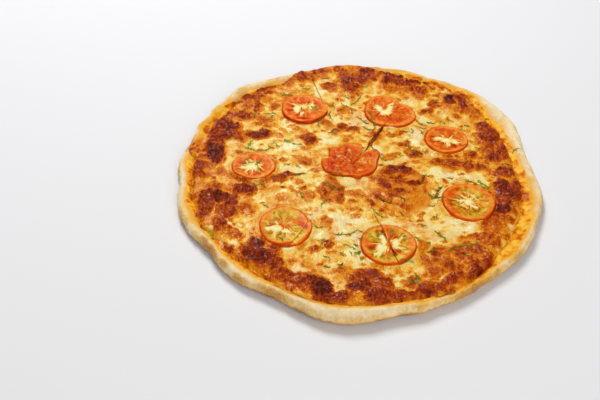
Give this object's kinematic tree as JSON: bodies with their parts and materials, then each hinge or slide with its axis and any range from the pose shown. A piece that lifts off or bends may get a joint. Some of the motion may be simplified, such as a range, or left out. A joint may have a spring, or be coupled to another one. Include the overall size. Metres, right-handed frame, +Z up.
{
  "type": "margherita pizza",
  "caption": "Thin round pizza with tomato sauce, melted browned cheese, tomato slices and green herb shreds, cut into wedges that still lie together.",
  "frame": {"origin": "under the middle of the pizza, on the surface it lies on", "axes": "+Z up through the topping; +X to the right and +Y away from a viewer at the front"},
  "size_m": [0.3039, 0.313, 0.0126],
  "materials": {
    "crust": "baked dough, pale and floury with toasted patches",
    "sauce": "oily cooked tomato sauce, orange and glossy",
    "cheese": "melted mozzarella, creamy yellow with browned crags, a soft oily gloss",
    "tomato": "baked tomato slice, wet orange-red flesh with a pale core",
    "herb": "wilted green herb, dull satin"
  },
  "bodies": {
    "root": {"crust_1": "crust", "sauce_1": "sauce", "cheese_1": "cheese", "crust_2": "crust", "sauce_2": "sauce", "cheese_2": "cheese", "crust_3": "crust", "sauce_3": "sauce", "cheese_3": "cheese", "crust_4": "crust", "sauce_4": "sauce", "cheese_4": "cheese", "crust_5": "crust", "sauce_5": "sauce", "cheese_5": "cheese", "crust_6": "crust", "sauce_6": "sauce", "cheese_6": "cheese", "crust_7": "crust", "sauce_7": "sauce", "cheese_7": "cheese", "crust_8": "crust", "sauce_8": "sauce", "cheese_8": "cheese", "tomato_1_on_3": "tomato", "tomato_2_on_1": "tomato", "tomato_2_on_2": "tomato", "tomato_3_on_1": "tomato", "tomato_3_on_8": "tomato", "tomato_4_on_4": "tomato", "tomato_5_on_1": "tomato", "tomato_5_on_2": "tomato", "tomato_5_on_3": "tomato", "tomato_5_on_4": "tomato", "tomato_5_on_5": "tomato", "tomato_5_on_6": "tomato", "tomato_5_on_7": "tomato", "tomato_5_on_8": "tomato", "tomato_6_on_5": "tomato", "tomato_6_on_6": "tomato", "tomato_7_on_6": "tomato", "tomato_7_on_7": "tomato", "tomato_8_on_7": "tomato", "tomato_8_on_8": "tomato"}
  },
  "joints": []
}
